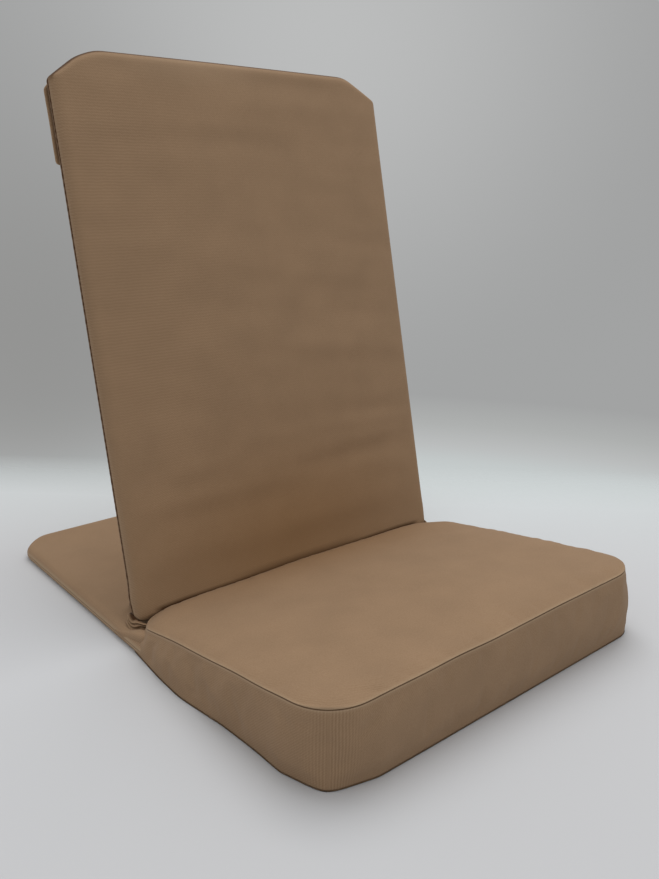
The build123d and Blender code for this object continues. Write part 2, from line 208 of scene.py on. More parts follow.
# edges between two points whose "seam" mark is 1 stay sharp when the piece is subdivided
def keepSeamsSharp(mesh):
    seam = markOf(mesh, "seam")
    ends = np.zeros(len(mesh.edges) * 2, np.int32)
    mesh.edges.foreach_get("vertices", ends)
    sharp = (seam[ends.reshape(-1, 2)] > 0.99).all(1).astype(np.float32)
    crease = mesh.attributes.new("crease_edge", "FLOAT", "EDGE")
    crease.data.foreach_set("value", sharp)


# A mesh from several patches of (points, faces, weave coordinates), merged where their points meet. Each mark
# is a value per point, given for each patch as an array or as one number for all its points.
def meshOf(name, patches, marks=None):
    points = np.concatenate([p.reshape(-1, 3) for p, _, _ in patches])
    weave = np.concatenate([w.reshape(-1, 2) for _, _, w in patches])
    starts = np.cumsum([0] + [p.reshape(-1, 3).shape[0] for p, _, _ in patches])
    faces = np.concatenate([f + start for (_, f, _), start in zip(patches, starts)])
    mesh = bpy.data.meshes.new(name)
    mesh.from_pydata((points * mm).tolist(), [], faces.tolist())
    corners = np.zeros(len(mesh.loops), np.int32)
    mesh.loops.foreach_get("vertex_index", corners)
    layer = mesh.uv_layers.new(name="weave")
    layer.data.foreach_set("uv", (weave[corners] * mm).astype(np.float32).ravel())
    for key, values in (marks or {}).items():
        field = mesh.attributes.new(key, "FLOAT", "POINT")
        full = [np.broadcast_to(value, p.shape[:-1]).ravel() for value, (p, _, _) in zip(values, patches)]
        field.data.foreach_set("value", np.concatenate(full).astype(np.float32))
    work = bmesh.new()
    work.from_mesh(mesh)
    bmesh.ops.remove_doubles(work, verts=work.verts, dist=0.00001)
    bmesh.ops.recalc_face_normals(work, faces=work.faces)
    work.to_mesh(mesh)
    work.free()
    mesh.shade_smooth()
    if "seam" in mesh.attributes:
        keepSeamsSharp(mesh)
    return mesh


def addObject(name, data):
    made = bpy.data.objects.new(name, data)
    bpy.context.scene.collection.objects.link(made)
    return made


# adds a finished piece to the scene on its body
def addPiece(mesh, body, material, replaced=()):
    piece = addObject(mesh.name, mesh)
    mesh.materials.clear()
    mesh.materials.append(material)
    if body:
        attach(piece, body)
    if replaced:
        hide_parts(*replaced)
    return piece


def subdivide(piece):
    smooth = piece.modifiers.new("smooth", "SUBSURF")
    smooth.levels = 1
    smooth.render_levels = 1


# puts the result of a piece's modifiers into its mesh
def bake(piece):
    graph = bpy.context.evaluated_depsgraph_get()
    shaped = piece.evaluated_get(graph)
    mesh = bpy.data.meshes.new_from_object(shaped, preserve_all_data_layers=True, depsgraph=graph)
    piece.modifiers.clear()
    mesh.name = piece.data.name
    piece.data = mesh


# Cloth under slight pressure from the foam: the points whose "held" mark is 1 stay, and the others swell by
# at most the cap and never sink by more than a little, because the foam is there.
def inflate(piece, look):
    mesh = piece.data
    held = markOf(mesh, "held")
    start = pointsOf(mesh)
    normals = np.zeros(len(mesh.vertices) * 3, np.float32)
    mesh.vertices.foreach_get("normal", normals)
    normals = normals.reshape(-1, 3).astype(float)
    group = piece.vertex_groups.new(name="held")
    group.add(np.flatnonzero(held > 0.5).tolist(), 1.0, "REPLACE")
    cloth = piece.modifiers.new("cloth", "CLOTH")
    for key, value in look["cloth"].items():
        setattr(cloth.settings, key, value)
    cloth.settings.effector_weights.gravity = 0.0
    cloth.point_cache.frame_start = 1
    cloth.point_cache.frame_end = look["frames"]
    for step in range(1, look["frames"] + 1):
        bpy.context.scene.frame_set(step)
    graph = bpy.context.evaluated_depsgraph_get()
    result = piece.evaluated_get(graph).to_mesh()
    swollen = pointsOf(result)
    piece.evaluated_get(graph).to_mesh_clear()
    piece.modifiers.remove(cloth)
    piece.vertex_groups.remove(group)
    bpy.context.scene.frame_set(1)
    move = swollen - start
    out = (move * normals).sum(1)
    kept = np.clip(out, -look["sink"], look["cap"])
    slide = move - out[:, None] * normals
    slide *= np.minimum(1, look["slide"] / np.maximum(np.linalg.norm(slide, axis=1), 1e-6))[:, None]
    settled = start + (slide + kept[:, None] * normals) * (held < 0.5)[:, None]
    mesh.vertices.foreach_set("co", (settled * mm).astype(np.float32).ravel())
    mesh.update()
    print(piece.name, "swelled by", round(float(out.max()), 1), "mm, kept", round(float(kept.max()), 1))


# an sRGB hex colour as linear numbers
def linear(code):
    parts = np.array([int(code[k:k + 2], 16) / 255 for k in (1, 3, 5)])
    low = parts / 12.92
    high = ((parts + 0.055) / 1.055) ** 2.4
    return (*np.where(parts <= 0.04045, low, high), 1.0)


# one shader node of a kind, with its settings and links from other nodes' outputs
def node(tree, kind, settings=None, links=None):
    made = tree.nodes.new("ShaderNode" + kind)
    for key, value in (settings or {}).items():
        if isinstance(key, str) and key not in made.inputs:
            setattr(made, key, value)
        else:
            made.inputs[key].default_value = value
    for key, source in (links or {}).items():
        tree.links.new(source, made.inputs[key])
    return made


# a material with no shader yet, its nodes, and the place of each point in the piece's own frame
def newMaterial(name):
    material = bpy.data.materials.new(name)
    material.use_nodes = True
    tree = material.node_tree
    tree.nodes.clear()
    return material, tree, node(tree, "TexCoord").outputs["Object"]


# noise whose spots are about the given size in millimetres
def noise(tree, size, detail, place):
    made = node(tree, "TexNoise", {"Scale": 1 / (size * mm), "Detail": detail}, {"Vector": place})
    return made.outputs["Fac"]


waveScale = 0.314159 / mm  # a wave texture's scale for bands 1 mm apart


# soft bands with the given pitch in millimetres
def bands(tree, direction, pitch, place, more):
    settings = {"bands_direction": direction, "Scale": waveScale / pitch, **more}
    return node(tree, "TexWave", settings, {"Vector": place}).outputs["Fac"]


# a value carried from one range to another and held within it
def ranged(tree, value, start, end, low=0.0, high=1.0, kind="LINEAR"):
    settings = {"From Min": start, "From Max": end, "To Min": low, "To Max": high, "interpolation_type": kind}
    return node(tree, "MapRange", settings, {"Value": value}).outputs["Result"]


def times(tree, a, b):
    return node(tree, "Math", {"operation": "MULTIPLY"}, {0: a, 1: b}).outputs["Value"]


# one of the mesh's marks, or a share of it
def marked(tree, key, share=None):
    value = node(tree, "Attribute", {"attribute_name": key}).outputs["Fac"]
    if share:
        value = node(tree, "Math", {"operation": "MULTIPLY", 1: share}, {0: value}).outputs["Value"]
    return value


# one colour turning into a second as the factor goes from 0 to 1; the first may be another node's output
def colourMix(tree, first, second, factor):
    settings = {"data_type": "RGBA", 7: linear(second)}
    links = {"Factor": factor}
    if isinstance(first, str):
        settings[6] = linear(first)
    else:
        links[6] = first
    return node(tree, "Mix", settings, links).outputs[2]


# the shader and the output, with a bump of the given strength and distance in metres
def finishSurface(tree, settings, links, height, strength, distance):
    bump = node(tree, "Bump", {"Strength": strength, "Distance": distance}, {"Height": height})
    shader = node(tree, "BsdfPrincipled", settings, {**links, "Normal": bump.outputs["Normal"]})
    node(tree, "OutputMaterial", {}, {"Surface": shader.outputs["BSDF"]})


# Cotton twill: woven and piece dyed, so it is matt, with a little fuzz that lightens it at grazing angles.
# The real threads are about 0.5 mm apart; the ribs are drawn at least six times as coarse so that they show,
# and only where the piece's "ribs" mark is high. The wear mark lightens edges that rub and fade, and paints
# highlights on the seams' lips and light on the back's top and foot; the warm mark paints warm shade and
# bounce light where back and cushion face each other; and "deep" paints shade in the seams, gaps, creases and
# pleats.
def makeTwill(name, look):
    material, tree, spot = newMaterial(name)
    uv = node(tree, "UVMap", {"uv_map": "weave"}).outputs["UV"]
    ribs = bands(tree, look["ribDirection"], look["ribPitch"], uv,
                 {"Distortion": look["ribMess"], "Detail": 1.5, "Detail Scale": 1.2})
    diagonals = bands(tree, "DIAGONAL", look["twillPitch"], uv, {"Distortion": 1.5, "Detail": 2.0})
    slub = noise(tree, look["slub"], 2.0, spot)
    cloud = noise(tree, look["cloud"], 3.0, spot)
    threads = node(tree, "Mix", {"data_type": "FLOAT", "Factor": look["slubShare"]},
                   {"A": diagonals, "B": slub}).outputs["Result"]
    ribShare = marked(tree, "ribs", look["ribShare"])
    weave = node(tree, "Mix", {"data_type": "FLOAT"},
                 {"Factor": ribShare, "A": threads, "B": ribs}).outputs["Result"]
    dyed = colourMix(tree, look["dark"], look["light"], weave)
    patchy = ranged(tree, cloud, 0.3, 0.7, *look["patches"])
    faded = node(tree, "Mix", {"data_type": "RGBA", "blend_type": "MULTIPLY", "Factor": 1.0},
                 {6: dyed, 7: patchy})
    # the pale colour: wear, painted highlights on lips and painted light on the back's top and foot
    colour = colourMix(tree, faded.outputs[2], look["worn"], marked(tree, "worn", look["wearAndLightShare"]))
    # then painted warm shade and bounce light, and painted shade in seams, gaps, creases and pleats
    for mark in ("warm", "deep"):
        colour = colourMix(tree, colour, look[mark], marked(tree, mark))
    finish = {"Roughness": look["roughness"], "Specular IOR Level": 0.15, "Sheen Weight": look["sheen"],
              "Sheen Roughness": 0.45}
    finishSurface(tree, finish, {"Base Color": colour}, weave, look["bump"], 0.0004)
    return material


# pale: wear and painted highlight; deep: painted shade; warm: painted warm shade and bounce light
twillLook = {
    "dark": "#84694f", "light": "#9e8469", "worn": "#bda78c", "deep": "#40240a", "warm": "#7c5525",
    "ribDirection": "X", "ribPitch": 3.1, "ribShare": 0.55, "ribMess": 0.8, "twillPitch": 1.6,
    "slub": 1.3, "slubShare": 0.75, "cloud": 55.0, "patches": (0.955, 1.045), "wearAndLightShare": 0.45,
    "bump": 0.16, "roughness": 0.88, "sheen": 0.05,
}
acrossLook = {**twillLook, "ribDirection": "Y", "ribPitch": 3.6, "ribShare": 0.3, "ribMess": 2.5}
twill = makeTwill("cottonTwill", twillLook)
backTwill = makeTwill("cottonTwillAcross", acrossLook)


# Metals and plastics: a base colour varied by fine noise, with the same noise as a slight bump.
def makeHard(name, look):
    material, tree, spot = newMaterial(name)
    turned = node(tree, "Mapping", {"Scale": look["stretch"]}, {"Vector": spot}).outputs["Vector"]
    grain = noise(tree, look["grain"], 3.0, turned)
    cloud = noise(tree, look["cloud"], 2.0, spot)
    colour = colourMix(tree, look["dark"], look["light"], ranged(tree, times(tree, grain, cloud), 0.12, 0.42))
    rough = ranged(tree, grain, 0.0, 1.0, *look["roughness"])
    finishSurface(tree, {"Metallic": look["metallic"]}, {"Base Color": colour, "Roughness": rough},
                  grain, look["bump"], 0.0002)
    return material


hardLook = {"stretch": (1.0, 1.0, 1.0), "cloud": 30, "metallic": 0.0}
# powder coat: sprayed and baked, half matt with an orange-peel surface about 0.8 mm across
powderCoat = makeHard("blackPowderCoat", {
    **hardLook, "dark": "#202022", "light": "#2f2f31", "grain": 0.8, "bump": 0.25, "roughness": (0.38, 0.52)})
# zinc-plated steel: turned and plated, a soft grey shine with fine turning marks
zincSteel = makeHard("zincPlatedSteel", {
    **hardLook, "dark": "#a4a6a8", "light": "#c3c5c7", "grain": 0.5, "stretch": (4.0, 1.0, 1.0), "bump": 0.15,
    "roughness": (0.28, 0.45), "metallic": 1.0})
# nylon 66: moulded, so smooth and a little waxy
mouldedNylon = makeHard("mouldedNylon", {
    **hardLook, "dark": "#cfcabb", "light": "#dcd8ca", "grain": 1.5, "bump": 0.08, "roughness": (0.4, 0.5)})


# Tapes and thread: bands a pitch apart, in two directions for a grid of small bumps or in one for a twist.
def makeBanded(name, look):
    material, tree, spot = newMaterial(name)
    waves = [bands(tree, way, look["pitch"], spot, {"Distortion": look["mess"]}) for way in look["ways"]]
    height = times(tree, *waves) if len(waves) == 2 else waves[0]
    colour = colourMix(tree, look["dark"], look["light"], height)
    finishSurface(tree, {"Roughness": look["roughness"], "Sheen Weight": look["sheen"]},
                  {"Base Color": colour}, height, *look["bump"])
    return material


# hook-and-loop tape: woven nylon with rows of hooks, or of loops that lie less evenly
tapeLook = {"ways": ("X", "Z"), "bump": (0.7, 0.0006)}
hookTape = makeBanded("hookTape", {
    **tapeLook, "dark": "#5b4a37", "light": "#85705a", "pitch": 1.4, "mess": 0.1, "roughness": 0.55,
    "sheen": 0.0})
loopTape = makeBanded("loopTape", {
    **tapeLook, "dark": "#66543f", "light": "#947d64", "pitch": 1.0, "mess": 3.0, "roughness": 0.9,
    "sheen": 0.25})
# sewing thread: twisted polyester, a shade lighter than the cloth, with a fine diagonal twist
thread = makeBanded("sewingThread", {
    "ways": ("DIAGONAL",), "bump": (0.3, 0.0001), "dark": "#7d6549", "light": "#a58b6c", "pitch": 0.6,
    "mess": 0.0, "roughness": 0.6, "sheen": 0.1})

keptNodes = {
    "base_frame": powderCoat, "hinge_cross_tube": powderCoat, "back_frame": powderCoat,
    "back_cross_tube": powderCoat, "left_bracket": powderCoat, "right_bracket": powderCoat,
    "pivot_rivets": zincSteel, "pivot_bushes": mouldedNylon, "hook_strip": hookTape, "loop_strip": loopTape,
}
for name, material in keptNodes.items():
    kept = bpy.data.objects[name]
    if not kept.material_slots:
        kept.data.materials.append(material)
    kept.material_slots[0].material = material
print("materials made")


cushionSize = {
    "half": 262.2, "low": -376.8, "high": -19.0, "centre": -198,
    "corners": [(52, 52, 2.1), (54, 58, 1.85), (27, 46, 1.5), (27, 46, 1.5)],
    # where the cover meets the floor: the front left corner is pressed in to a blunt point
    "footCorners": [(71, 66, 12, 0.26, 0.25), (36, 36, 2.1), (9, 9, 2.0), (9, 9, 2.0)],
    "counts": (92, 64), "insets": [1.1, 0.4, 0.0, 0.4, 1.6, 4.5, 9.0, 15.0, 23.0],
    "edge": [-1.9, -1.5, -0.9, -0.3, -0.05, 0.0],  # heights of the outer rings: the panel hangs over its seam
    "along": [-378, -198, -18.8], "middleHeights": [96.6, 75.2, 41.6], "sideHeights": [97.4, 69.2, 35.6],
    "edgeDrop": 1.2, "edgeReach": 9.0, "cornerDrop": 19, "cornerAcross": (205, 58), "cornerAlong": (-64, 44),
    "topWaves": [(3, 0.55, 90, 260), (4, 0.14, 24, 60)], "edgeWaves": [(14, 0.5, 50, 180)],
    "edgeWaveReach": 12, "boxingWaves": [(8, 0.5, 40, 140)],
    # half the width on the floor, by the place along y
    "floorAt": [-378, -313, -274, -219, -159, -144, -101, -20, 0], "footHalf": 263.0, "footSoft": 14.0,
    "leftHalf": [262.8, 263, 262.8, 265.6, 273.6, 275.2, 273.8, 267, 267],
    "rightHalf": [267, 267, 266, 266, 272.0, 273.5, 272.5, 267, 267],
    "rearTuck": 6.0, "rearTuckAt": (-40, 20), "underside": 0.6,
    "lipOut": [0.0, 0.7, 1.2, 1.5, 1.7], "lipDown": [0.0, 0.5, 0.9, 1.8, 4.0],
    # the boxing's lip and the top's edge are lightened for wear and as painted highlight; the seam gets
    # painted shade
    "lipWearAndLight": [0.0, 0.5, 0.8, 0.3, 0.0], "topWearAndLight": [0, 0.1, 0.5, 0.6, 0.2, 0], "topDeep": [1.0, 0.45, 0.0],
    "rows": 11, "bulge": 1.6, "rightBulge": 1.0, "rightCorner": (262, -350, 60, 60),
    "hemOut": [0.6, 0.5, -0.3, -3.0], "hemUp": [3.6, 2.2, 1.2, 0.6],
    # the warm hills are painted warm shade and bounce light at the rear of the top, which faces the back
    "ribbedCorner": (240, -364, 21, 21), "warm": [(30, -10, 240, 75, 0.45)], "rearWall": -48,
    # folds of the sides: place along y, height, half width, half height, turn, depth
    "folds": [
        (-58, 22, 9, 17, 0.35, 1.6), (-78, 20, 8, 20, 0.3, -1.3), (-104, 24, 16, 26, 0.2, 1.1),
        (-150, 30, 22, 30, -0.2, -0.9), (-215, 34, 34, 20, 0.3, 0.8), (-290, 40, 30, 24, -0.3, -0.8),
    ],
    "foldsShift": 11.0,
}


# the parabola through three heights at three places
def parabola(q, at, heights):
    return np.polyval(np.polyfit(at, heights, 2), q)


# The cushion's top: a crown between the side and middle heights, falling towards seam and rear corners.
def cushionTop(x, y, inset):
    size = cushionSize
    middle = parabola(y, size["along"], size["middleHeights"])
    side = parabola(y, size["along"], size["sideHeights"])
    z = middle - (middle - side) * (x / size["half"]) ** 2
    z -= size["edgeDrop"] * np.exp(-inset / size["edgeReach"])
    corner = ramp(np.abs(x), *size["cornerAcross"]) ** 2.0 * ramp(y, *size["cornerAlong"]) ** 1.4
    return z - size["cornerDrop"] * corner + uneven(size["topWaves"], flatPoints(x, y)) * ramp(inset, 0, 20)


# How far the side folds push the boxing out: turned hills over y and z, the right side's moved a little.
def foldDepth(point):
    moved = point[..., 1] + np.where(point[..., 0] > 0, cushionSize["foldsShift"], 0.0)
    return hills(moved, point[..., 2], cushionSize["folds"])


# the tails of cloth at the cushion's rear corners: their measures by the place along y
tailSize = {
    "from": -50, "to": 13, "counts": (24, 20), "fullness": 0.7, "bend": 0.9, "bendLength": 9.0,
    "topAt": [-50, -34, -24, -12, 0, 13], "top": [30, 25, 22.5, 18.0, 14.0, 10.4],
    "lowAt": [-50, -12, 0, 13], "low": [2.5, 2.5, 4.2, 7.2],
    "outerAt": [-50, -30, -10, 13], "outer": [263.5, 266.4, 268.2, 268.9],
    "thickAt": [-50, -24, 0, 13], "thick": [24.0, 18.0, 9.0, 2.4],
}


# The cloth that runs on from the boxing's rear corner to the base's side seam: upright ovals carried along y,
# whose height and width fall to almost nothing at the seam.
def buildTail(side):
    size = tailSize
    rows, sides = size["counts"]
    y = np.linspace(size["from"], size["to"], rows)
    top, low, outer, thick = (np.interp(y, size[key + "At"], size[key])[:, None]
                              for key in ("top", "low", "outer", "thick"))
    turn = np.linspace(0, 2 * math.pi, sides, endpoint=False)
    bend = size["bend"] * np.sin(y / size["bendLength"])[:, None]
    across = outer - thick / 2 * (1 - fuller(np.cos(turn), size["fullness"])) + bend * np.sin(turn)
    up = (top + low) / 2 + (top - low) / 2 * fuller(np.sin(turn), size["fullness"])
    rings = np.stack([side * across, y[:, None] + 0 * across, up], -1)
    ends = [rings[k:k + 1].mean(1, keepdims=True).repeat(sides, 1) for k in (0, -1)]
    points = np.concatenate([ends[0], rings, ends[1]])
    return points, gridFaces(len(points), sides, closed=True), points[..., 1:]


def buildCushion():
    size = cushionSize
    x, y, inset, ring = panelPlan(size)
    footX, footY, _, _ = panelPlan(size, corners="footCorners")
    left, right = (easedLine(footY, size["floorAt"], size[key + "Half"], size["footSoft"])
                   for key in ("left", "right"))
    footX = footX * np.where(footX < 0, left, right) / size["footHalf"]
    footY = footY - size["rearTuck"] * ramp(footY, *size["rearTuckAt"])
    z = cushionTop(x, y, inset) + byRing(ring, size["edge"])
    z += uneven(size["edgeWaves"], flatPoints(x, y)) * np.exp(-inset / size["edgeWaveReach"])
    top = np.stack([x, y, z], -1)
    edge = rim(x.shape)
    seam = top.reshape(-1, 3)[edge]
    ahead = np.roll(seam, -1, 0) - np.roll(seam, 1, 0)
    outward = unit(flatPoints(-ahead[:, 1], ahead[:, 0]))
    outward *= np.sign((outward[:, :2] * (seam[:, :2] - [0, size["centre"]])).sum(-1))[:, None]
    # the boxing: a lip below the seam, a side that stands out a little, and a bottom seam tucked under
    upright = np.array([0, 0, 1.0])
    foot = flatPoints(footX.ravel()[edge], footY.ravel()[edge])
    lip = seam + outward * perRow(size["lipOut"]) - upright * perRow(size["lipDown"])
    hem = foot + outward * perRow(size["hemOut"]) + upright * perRow(size["hemUp"])
    t = np.linspace(0, 1, size["rows"] + 2)[1:-1, None]
    wall = lip[-1] + (hem[0] - lip[-1]) * t[..., None]
    wall += outward * size["bulge"] * np.sin(math.pi * t[..., None]) ** 0.8
    sideways = np.abs(outward[:, 0]) > 0.7
    waves = uneven(size["boxingWaves"], wall * [1, 1, 0.4])
    rightCorner = hill(wall[..., 0], wall[..., 1], *size["rightCorner"])
    wall += outward * (size["rightBulge"] * rightCorner * np.sin(math.pi * t ** 0.8))[..., None]
    wall += outward * (np.sin(math.pi * t) ** 0.6 * (foldDepth(wall) * sideways + waves))[..., None]
    boxing = np.concatenate([lip, wall, hem])
    last = len(boxing) - 1
    weaveBoxing = np.stack(np.broadcast_arrays(reachAlong(seam[:, :2])[None], boxing[..., 2]), -1)
    under = np.stack([footX, footY, size["underside"] + 0 * x], -1)
    under.reshape(-1, 3)[edge] = hem[-1]
    faces = gridFaces(*x.shape)
    plan = np.stack([x, y], -1)
    row = np.arange(last + 1)[:, None]
    rearWall = boxing[..., 1] > size["rearWall"]
    ribbed = hill(np.abs(boxing[..., 0]), boxing[..., 1], *size["ribbedCorner"])
    # each mark for the top, the boxing, the underside and the two tails
    marks = {
        "seam": [ring == 0, row == 0, 0, 0, 0],
        "held": [ring < 4, (row < 5) | (row > last - 5) | rearWall, 1, 1, 1],
        "ribs": [0.04, 0.03 + 0.85 * ribbed, 0, 0.1, 0.1],
        # painted shade in the top seam and along the boxing's top and bottom seams
        "deep": [byRing(ring, size["topDeep"]),
                 np.interp(row, [0, 1, 2, last - 2, last - 1], [1.0, 0.45, 0, 0, 0.5]), 0, 0, 0],
        # painted warm shade and bounce light
        "warm": [hills(x, y, size["warm"]), 0, 0, 0, 0],
        # wear, and painted highlight on the lip and along the seam
        "worn": [byRing(ring, size["topWearAndLight"]), byRing(row, size["lipWearAndLight"]), 0, 0, 0],
    }
    return meshOf("cushion", [
        (top, faces, plan), (boxing, gridFaces(last + 1, boxing.shape[1], closed=True), weaveBoxing),
        (under, faces[:, ::-1], plan), buildTail(-1), buildTail(1)], marks)


cushion = addPiece(buildCushion(), "base", twill,
                   ("seat_foam", "seat_boxing", "seat_top_panel"))
inflate(cushion, {"frames": 20, "cap": 3.0, "sink": 0.8, "slide": 1.2, "cloth": {
    "quality": 6, "mass": 0.3, "tension_stiffness": 12.0, "compression_stiffness": 12.0,
    "shear_stiffness": 4.0, "bending_stiffness": 0.3, "use_pressure": True, "uniform_pressure_force": 4.0,
    "vertex_group_mass": "held", "shrink_min": -0.015}})
subdivide(cushion)
print("cushion made")

baseSize = {
    "half": 268.4, "low": -60.0, "high": 323.8, "seamHeight": 7.6, "top": 18.4, "round": 10.0,
    "sag": 2.6, "sagAt": (14, 60), "waves": [(12, 0.35, 60, 200)],
    "tubeAt": 36, "tubeReach": 15, "tubeTop": 17.9, "tubeInset": (4, 5),
    "corners": [(8, 8, 2.0), (8, 8, 2.0), (40, 37, 1.35), (40, 37, 1.35)],
    "counts": (84, 60),
    "topInsets": [1.8, 0.4, 0.1, 0.5, 1.7, 3.6, 6.2, 9.5, 14.0, 20.0],
    "topEdge": [0.0, 0.06, 0.16],  # share of the rise at the outer rings: a groove at the seam
    "lowInsets": [1.8, 0.5, 0.2, 0.9, 1.6, 1.1, 1.5, 3.0, 6.5, 12.0],
    "lowEdge": [7.6, 7.1, 6.0, 4.9, 4.2, 3.3, 1.8, 1.0, 0.6, 0.6],  # heights: a lip and a second line
    # the seam's lips of both panels are lightened for wear and as painted highlight
    "topWearAndLight": [0, 0.5, 1, 0.6, 0], "lowWearAndLight": [0, 0.7, 1, 0.5, 0, 0.5, 0],
}


# The base's cover: two panels sewn at the sides. The upper one rises as a quarter ellipse from the seam's
# groove, lies on the hinge's cross tube and sags a little beyond it; the lower one has a narrow lip, a second
# line, and then lies on the floor.
def buildBase():
    size = baseSize
    x, y, inset, ring = panelPlan(size, "topInsets")
    faces = gridFaces(*x.shape)
    plan = np.stack([x, y], -1)
    arch = np.where(ring > 2, rounded((inset + 0.15) / size["round"]), byRing(ring, size["topEdge"]))
    z = size["seamHeight"] + (size["top"] - size["seamHeight"]) * arch
    z += uneven(size["waves"], flatPoints(x, y)) * ramp(inset, 0, 30)
    carried = np.exp(-((y - size["tubeAt"]) / size["tubeReach"]) ** 4) * ramp(inset, *size["tubeInset"])
    z = z * (1 - carried) + np.maximum(z, size["tubeTop"]) * carried
    top = np.stack([x, y, z - size["sag"] * ramp(inset, *size["sagAt"]) ** 0.7 * (1 - carried)], -1)
    lowX, lowY, _, _ = panelPlan(size, "lowInsets")
    bottom = np.stack([lowX, lowY, byRing(ring, size["lowEdge"])], -1)
    return meshOf("basePanel", [(top, faces, plan), (bottom, faces[:, ::-1], plan)], {
        "seam": [ring == 0] * 2, "ribs": [0.1, 0],
        # wear, and painted highlight on the seam's lips
        "worn": [byRing(ring, size["topWearAndLight"]), byRing(ring, size["lowWearAndLight"])]})


basePanel = addPiece(buildBase(), "base", twill, ("base_top_cover", "bottom_cover"))
subdivide(basePanel)
print("base panel made")

backSize = {
    "half": 250.0, "low": -30.0, "high": 646.0, "front": 15.0, "rear": 9.2, "crown": 2.5, "frontRound": 10.0,
    "rearRound": 7.0, "rivetBump": 1.4, "lowWider": 2.2, "lowWiderAt": (-30, 560),
    "corners": [(12, 12, 2.0), (12, 12, 2.0), (60, 34, 40, 0.787, 0.61), (56, 32, 30, 0.92, 0.92)],
    # how far the lower corners of the front hang down, and where by depth, across and up
    "droop": 4.5, "droopDepth": (-12, 27), "droopAcross": (185, 55), "droopUp": (20, -50),
    "counts": (60, 236),
    "frontInsets": [1.1, 0.25, 0.0, 0.0, 0.35, 0.8, 1.9, 3.9, 6.6, 10.5, 16.0, 23.0],
    "frontEdge": [0.0, 0.5, 1.4],
    "rearInsets": [1.1, 0.25, 0.0, 0.0, 0.6, 1.9, 4.0, 7.0, 11.0, 17.0, 24.0],
    "rearEdge": [0.0, -0.5, -1.4],
    "puckers": 8.5, "puckerDepth": 0.35,  # how far apart the stitches draw the seam in, and how deep
    "waves": [(5, 0.16, 22, 70), (6, 0.35, 90, 220)], "waveStretch": 0.25,
    # wrinkles of the front: across, up, half width, half height, turn, slope
    "bands": [
        (-20, 553, 140, 11, 0.0, 0.26), (90, 607, 100, 20, 0.0, -0.15), (-180, 618, 40, 14, 0.0, -0.12),
        (-76, 612, 26, 7, 1.1, 0.15), (205, 537, 40, 4, -0.02, 0.22), (80, 163, 170, 13, -0.04, -0.12),
        (110, 120, 130, 14, 0.03, 0.20), (-95, 91, 130, 15, -0.02, 0.18), (-130, 146, 75, 14, 0.1, -0.07),
        (125, 288, 110, 38, 0.0, -0.09), (52, 335, 70, 28, 0.8, 0.09), (0, 22, 260, 22, 0.0, 0.10),
        (132, 625, 18, 8, 0.9, 0.10), (181, 633, 16, 7, 1.2, -0.12), (210, 612, 22, 8, 0.8, 0.12),
    ],
    # where the marks are high: across, up, half width, half height, value
    "ribs": [(-215, 545, 120, 90, 0.7), (-190, 330, 130, 150, 0.7)], "ribsLeast": 0.15,
    # painted light at the top and at the foot, the foot's against the shade from the cushion; the lip is
    # lightened for wear and as painted highlight
    "topWearAndLight": [(-60, 638, 105, 20, 0.26)], "footPaintedLight": [(-15, 0, 260, 50, 0.30)], "lipWearAndLight": 0.12,
    # painted warm shade and bounce light at the foot, from the cushion
    "footPaintedWarmShade": [(-15, 0, 215, 110, 0.5)],
    # painted shade in the seam's groove
    "frontDeep": [1, 0.7, 0.1, 0, 0, 0], "rearDeep": [1, 1, 0.9, 0.75, 0.25, 0],  # by ring, from the seam
    # painted shade in the gap along the top edge, and the front painted a shade darker above its foot
    "topLine": [0, 0, 0, 0.8, 0.9, 0.9, 0.8, 0.1, 0], "topLineAt": (606, 8),
    "shade": 0.035, "shadeAt": (100, 100),
    # the crease where the cushion meets the front, painted in shade: its height at the middle, and how it
    # falls to the sides
    "crease": -13.2, "creaseSag": 4, "creaseHalf": 262, "creaseDrop": 19, "creaseCorner": (205, 58),
    "creaseDeep": 0.9, "creaseEnds": (238, -8),
}


